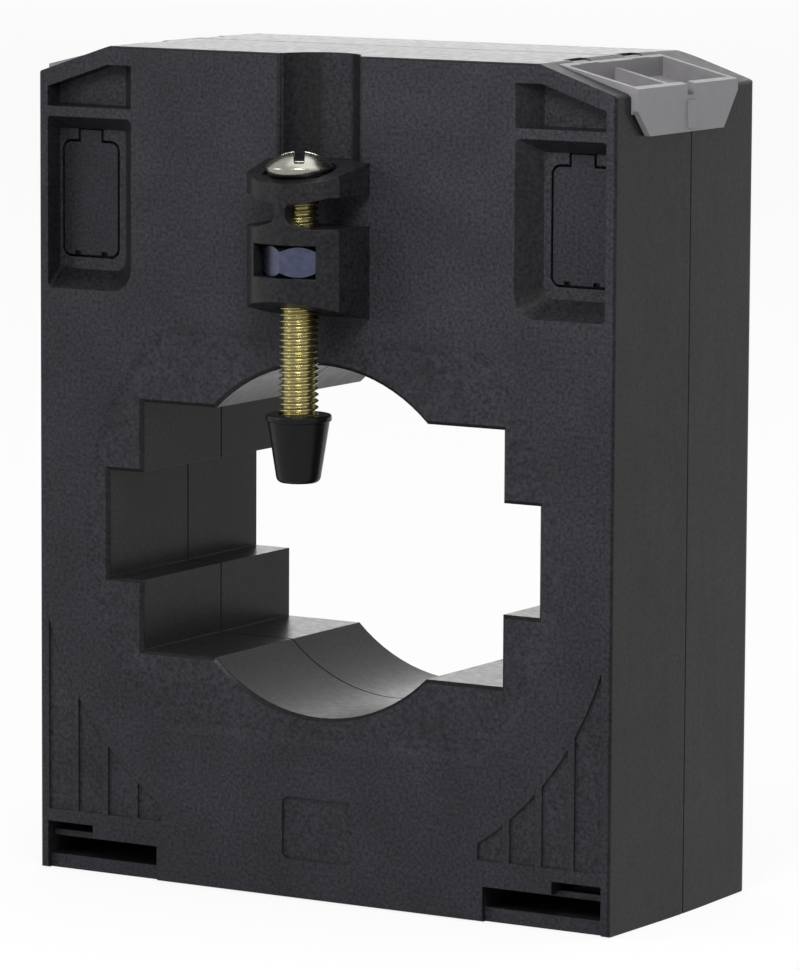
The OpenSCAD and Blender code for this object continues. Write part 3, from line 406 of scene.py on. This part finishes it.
# a hazy grey that lets some of what lies behind come through
cover_finish, tree, shader, place = new_material("clear_polycarbonate_cover")
haze = add_node(tree, "ShaderNodeTexNoise", {
    "Vector": place.outputs["Object"], "Scale": 1 / (1.5 * MM), "Detail": 2.0})
tone = add_node(tree, "ShaderNodeMix", {
    0: haze.outputs["Fac"], 6: linear("#868487"), 7: linear("#939195")}, data_type="RGBA")
tree.links.new(tone.outputs[2], shader.inputs["Base Color"])
rough = add_node(tree, "ShaderNodeMapRange",
                 {0: haze.outputs["Fac"], **NOISE_SPAN, 3: 0.36, 4: 0.44})
tree.links.new(rough.outputs[0], shader.inputs["Roughness"])
shader.inputs["Specular IOR Level"].default_value = 0.1
shader.inputs["IOR"].default_value = 1.585
shader.inputs["Transmission Weight"].default_value = 0.35

dress(cap_finish, "clamp_cap")
dress(ring_finish, "core_ring_front", "core_ring_rear")
dress(tape_finish, "winding_tape")
dress(lead_finish, "lead_left", "lead_right")
dress(cover_finish, "terminal_cover_left", "terminal_cover_right")
print("materials", len(bpy.data.materials))

# %% [markdown]
# ## Screws with real threads
# The CAD frame has the screws as plain cylinders. A screw is a surface of revolution whose
# radius also swings with the turn, once per pitch: that is what a helix is. So one function
# builds any turned body from two arrays, radius and height, over rows and columns, and the
# thread and the driver slots are only changes to these arrays. Booleans would leave ragged
# triangles at each crest.

# %% A turned body from arrays of radius and height


def turned(axis, radius, height):
    """Points, quads and end triangles of a grid: point = axis + radius * (cos t, sin t), height.
    t runs round once over the columns; rows run from the lower pole to the upper, both closed."""
    rows, columns = radius.shape
    t = np.linspace(0, 2 * math.pi, columns, endpoint=False)[None, :]
    grid = np.stack([axis[0] + radius * np.cos(t), axis[1] + radius * np.sin(t), height], -1)
    poles = [[axis[0], axis[1], height[row].mean()] for row in (0, -1)]
    i, j = np.meshgrid(np.arange(rows - 1), np.arange(columns), indexing="ij")
    k = (j + 1) % columns
    quads = np.stack([i * columns + j, i * columns + k,
                      (i + 1) * columns + k, (i + 1) * columns + j], -1).reshape(-1, 4)
    ring = np.arange(columns)
    after = (ring + 1) % columns
    last, pole = (rows - 1) * columns, np.full(columns, rows * columns)
    lower = np.stack([pole, after, ring], -1)
    upper = np.stack([pole + 1, last + ring, last + after], -1)
    return np.vstack([grid.reshape(-1, 3), poles]), quads, np.vstack([lower, upper])


def joined(name, body, replaced, parts, materials):
    """One piece from closed turned bodies, each with its material; it rides on the body
    named and stands for the CAD node replaced."""
    points, faces, slots, base = [], [], [], 0
    for number, (grid, quads, ends) in enumerate(parts):
        new = (quads + base).tolist() + (ends + base).tolist()
        points.append(grid)
        faces += new
        slots += [number] * len(new)
        base += len(grid)
    data = bpy.data.meshes.new(name)
    data.from_pydata(np.vstack(points).tolist(), [], faces)
    data.shade_smooth()
    for material in materials:
        data.materials.append(material)
    data.polygons.foreach_set("material_index", slots)
    piece = bpy.data.objects.new(name, data)
    bpy.context.scene.collection.objects.link(piece)
    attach(piece, body)
    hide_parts(replaced)
    print(name, len(data.polygons), "faces")


# thread profile in shares of the pitch: depth, width of the flat crest, rise of the flank
THREAD_DEPTH, CREST, FLANK = 0.61, 0.125, 0.7
ROWS_PER_PITCH = 14


def threaded_shaft(axis, low, high, major, pitch, columns):
    """Radius = major - depth * V(z / pitch - t), with V = 0 on the crest and 1 in the root,
    and straight flanks between; both ends taper in by their distance to the end."""
    depth = THREAD_DEPTH * pitch
    z = np.append(np.arange(low, high, pitch / ROWS_PER_PITCH), high)[:, None]
    t = np.linspace(0, 1, columns, endpoint=False)[None, :]
    phase = np.abs((z / pitch - t) % 1 - 0.5) * 2
    radius = major - depth * np.clip((phase - CREST) / FLANK, 0, 1)
    radius = np.minimum(radius, major - depth + np.minimum(z - low, high - z))
    return turned(axis, radius, np.repeat(z, columns, axis=1))


SLOT_WALL = 0.1 * MM


def smooth_step(edge, width, value):
    """0 where value is below edge by half the width, 1 above it by as much, an S between."""
    x = np.clip((value - edge) / width + 0.5, 0, 1)
    return x * x * (3 - 2 * x)


def driver_cut(height, x, y, slot_w, slot_floor, cross_floor, cross_r, slope):
    """Lowers the height to slot_floor in a slot along x, and in a shorter one along y to a
    floor that starts at cross_floor and climbs by slope from the radius cross_r outwards."""
    in_slot = 1 - smooth_step(slot_w / 2, SLOT_WALL, np.abs(y))
    in_cross = 1 - smooth_step(slot_w / 2, SLOT_WALL, np.abs(x))
    climb = cross_floor + slope * np.maximum(np.hypot(x, y) - cross_r, 0)
    height = height + in_slot * np.minimum(slot_floor - height, 0)
    return height + in_cross * np.minimum(climb - height, 0)


print("screw functions ready")

# %% [markdown]
# The clamp screw is an M5 with a pitch of 0.8 mm. Its head is a lens: a rounded lower edge,
# a widest ring at two fifths of its height and a low dome with a slot and a shorter cross cut,
# for a flat or a cross-head screwdriver.

# %% Clamp screw
M5_MAJOR, M5_PITCH, M5_COLUMNS = 2.5 * MM, 0.8 * MM, 48
HEAD_H, HEAD_EDGE_H, SEAT_R = 3.1 * MM, 1.2 * MM, 3.4 * MM
HEAD_TURN = math.radians(31 - 90)
HEAD_COLUMNS = 240
HEAD_CUT = dict(slot_w=1.2 * MM, slot_floor=1.8 * MM, cross_floor=1.2 * MM, cross_r=1.3 * MM,
                slope=1.3)
# the thread runs a little way into the head, so that no crack shows between the two
OVERLAP = 0.3 * MM

low, high = (np.array(v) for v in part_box("clamp_screw"))
axis = (low + high)[:2] / 2
head_r = (high - low)[0] / 2
seat = high[2] - HEAD_H
dome = HEAD_H - HEAD_EDGE_H
dome_r = (head_r ** 2 + dome ** 2) / (2 * dome)

# rows from the axis: flat underside, quarter-ellipse edge, dome of radius dome_r
t = np.linspace(0, 2 * math.pi, HEAD_COLUMNS, endpoint=False)[None, :]
under = np.linspace(0.2, 1, 4) * SEAT_R
quarter = np.linspace(0, math.pi / 2, 9)[1:]
edge = SEAT_R + (head_r - SEAT_R) * np.sin(quarter)
top = head_r * np.linspace(1, 0.01, 100)[1:]
radius = np.concatenate([under, edge, top])[:, None] + 0 * t
rise = np.concatenate([under * 0, HEAD_EDGE_H * (1 - np.cos(quarter)),
                       HEAD_H - dome_r + np.sqrt(dome_r ** 2 - top ** 2)])[:, None] + 0 * t
across, along = radius * np.cos(t - HEAD_TURN), radius * np.sin(t - HEAD_TURN)
cut = driver_cut(rise, across, along, **HEAD_CUT)
rise[-len(top):] = cut[-len(top):]

head = turned(axis, radius, seat + rise)
shaft = threaded_shaft(axis, low[2], seat + OVERLAP, M5_MAJOR, M5_PITCH, M5_COLUMNS)
joined("clamp_screw_detailed", "clamp_screw", "clamp_screw", [shaft, head],
       [chromated, bright_zinc])

# %% [markdown]
# The four terminal screws are short and 3.5 mm thick. They are seen through the round holes
# of the covers, so their flat tops get the same slot and cross.

# %% Terminal screws
TOP_EDGE = 0.25 * MM
SMALL_HEAD_H, SMALL_PITCH, SMALL_COLUMNS, SMALL_HEAD_COLUMNS = 1.3 * MM, 0.6 * MM, 40, 120
SMALL_SLOT_W, SMALL_SLOT_DEEP, SMALL_CROSS_DEEP = 0.8 * MM, 0.9 * MM, 1.1 * MM
SMALL_CROSS_R, SMALL_SLOPE = 0.7 * MM, 1.2
# no two screws end up turned the same way once tightened
SMALL_TURN = {"front": 0.6, "rear": 1.4}

for side in ("left", "right"):
    for end in ("front", "rear"):
        node = f"terminal_screw_{side}_{end}"
        low, high = (np.array(v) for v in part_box(node))
        axis = (low + high)[:2] / 2
        major = (high - low)[0] / 2
        inner, base, crown = major - TOP_EDGE, high[2] - SMALL_HEAD_H, high[2]

        # rows from the axis: underside, rounded lower edge, rounded upper edge, flat top
        t = np.linspace(0, 2 * math.pi, SMALL_HEAD_COLUMNS, endpoint=False)[None, :]
        rim = np.linspace(0, TOP_EDGE, 4)
        flat = inner * np.linspace(1, 0.02, 50)[1:]
        radius = np.concatenate([
            [0.3 * major, inner],
            inner + np.sqrt(TOP_EDGE ** 2 - (TOP_EDGE - rim) ** 2),
            inner + np.sqrt(TOP_EDGE ** 2 - rim ** 2), flat])[:, None] + 0 * t
        rise = np.concatenate([
            [base, base], base + rim, crown - TOP_EDGE + rim,
            np.full(len(flat), crown)])[:, None] + 0 * t
        turn = t - SMALL_TURN[end]
        cut = driver_cut(rise, radius * np.cos(turn), radius * np.sin(turn), SMALL_SLOT_W,
                         crown - SMALL_SLOT_DEEP, crown - SMALL_CROSS_DEEP, SMALL_CROSS_R,
                         SMALL_SLOPE)
        rise[-len(flat):] = cut[-len(flat):]

        head = turned(axis, radius, rise)
        shaft = threaded_shaft(axis, low[2], base + OVERLAP, major, SMALL_PITCH, SMALL_COLUMNS)
        joined(node + "_detailed", node, node, [shaft, head], [chromated, bright_zinc])

# %% [markdown]
# The box of the finished model is printed, to set beside the box of the CAD frame printed at the
# start: the two should agree.

# %% Print the sizes and finish
low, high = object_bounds()
print("visual box", [round(v, 5) for v in low], [round(v, 5) for v in high])
